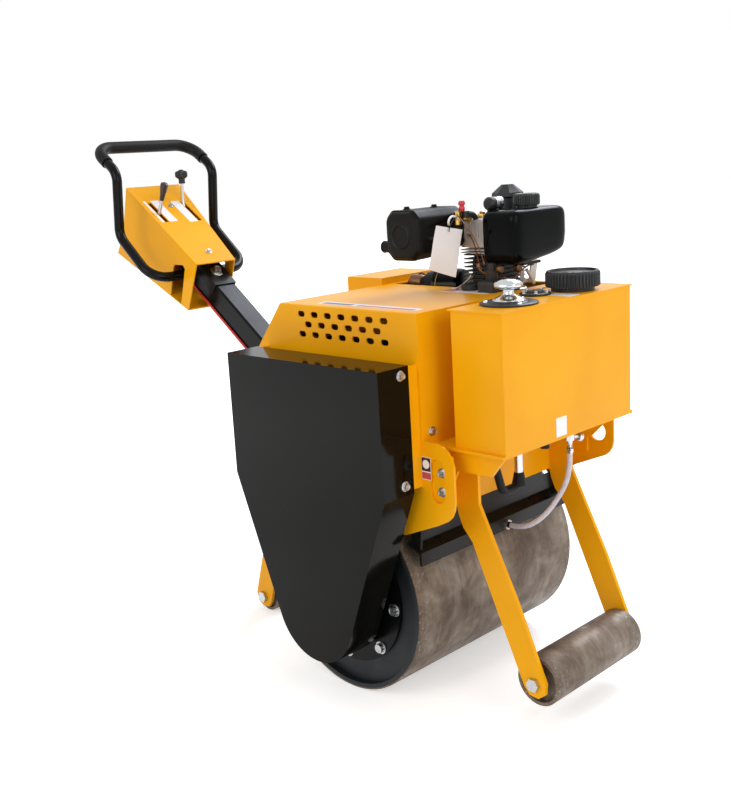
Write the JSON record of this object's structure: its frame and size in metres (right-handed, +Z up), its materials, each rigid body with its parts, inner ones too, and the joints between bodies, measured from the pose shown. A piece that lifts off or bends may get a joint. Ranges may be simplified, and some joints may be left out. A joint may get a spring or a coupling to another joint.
{
  "type": "walk-behind vibratory road roller",
  "caption": "Walk-behind road roller: steel drum, small support rollers, yellow hood, box water tank, belt cover, open diesel engine and tow post with a control console.",
  "frame": {"origin": "on the ground, under the middle of the whole machine's bounding box", "axes": "+X forward, from the handlebar to the water tank; +Y to the operator's left; +Z up, square to the tank's top"},
  "size_m": [1.5015, 0.639, 1.1705],
  "materials": {
    "black_paint": "gloss",
    "black_plastic": "satin",
    "black_rubber": "matte",
    "cast_alloy": "cast",
    "cast_black": "matte",
    "chrome": "polished",
    "clear_pvc": "gloss",
    "red_cable": "satin",
    "rolled_steel": "worn",
    "yellow_paint": "gloss",
    "zinc_steel": "satin"
  },
  "bodies": {
    "chassis": {"air_cleaner": "black_plastic", "battery_box": "yellow_paint", "belt_cover": "black_paint", "breather_cap": "chrome", "carrier_left": "yellow_paint", "carrier_right": "black_paint", "console": "yellow_paint", "control_cables": "red_cable", "cover_bracket_front": "yellow_paint", "cover_bracket_rear": "yellow_paint", "cylinder": "cast_black", "cylinder_head": "cast_alloy", "drain_elbow": "black_rubber", "drain_pipe": "zinc_steel", "drain_plug": "black_rubber", "engine_bed": "black_paint", "engine_block": "cast_alloy", "front_arm_left": "yellow_paint", "front_arm_right": "yellow_paint", "front_cross": "yellow_paint", "front_pin": "zinc_steel", "fuel_cap": "black_plastic", "fuel_tank": "black_paint", "gearbox": "cast_black", "grip_sleeve": "black_rubber", "handlebar": "black_paint", "hood": "yellow_paint", "lever_left": "black_plastic", "lever_right": "black_plastic", "muffler": "black_paint", "rear_arm_left": "yellow_paint", "rear_arm_right": "yellow_paint", "rear_cross": "yellow_paint", "rear_pin": "zinc_steel", "scraper_bar": "black_paint", "side_plate_left": "yellow_paint", "side_plate_right": "yellow_paint", "tank_bracket": "black_paint", "tank_support": "yellow_paint", "tow_post": "black_paint", "water_cap": "black_plastic", "water_hose": "clear_pvc", "water_tank": "yellow_paint", "water_valve": "zinc_steel"},
    "drum": {"drum_shell": "rolled_steel", "drum_flange_right": "black_paint", "drum_flange_left": "black_paint", "drum_axle": "zinc_steel"},
    "front_roller": {"front_roller": "rolled_steel"},
    "rear_roller": {"rear_roller": "rolled_steel"}
  },
  "joints": [
    {"name": "drum_spin", "type": "hinge", "parent": "chassis", "child": "drum", "pos_m": [0.29, 0.0275, 0.2125], "axis": [0, 1, 0], "continuous": true},
    {"name": "front_roller_spin", "type": "hinge", "parent": "chassis", "child": "front_roller", "pos_m": [0.702, 0.0275, 0.098], "axis": [0, 1, 0], "continuous": true},
    {"name": "rear_roller_spin", "type": "hinge", "parent": "chassis", "child": "rear_roller", "pos_m": [-0.156, 0.0275, 0.04], "axis": [0, 1, 0], "continuous": true}
  ]
}
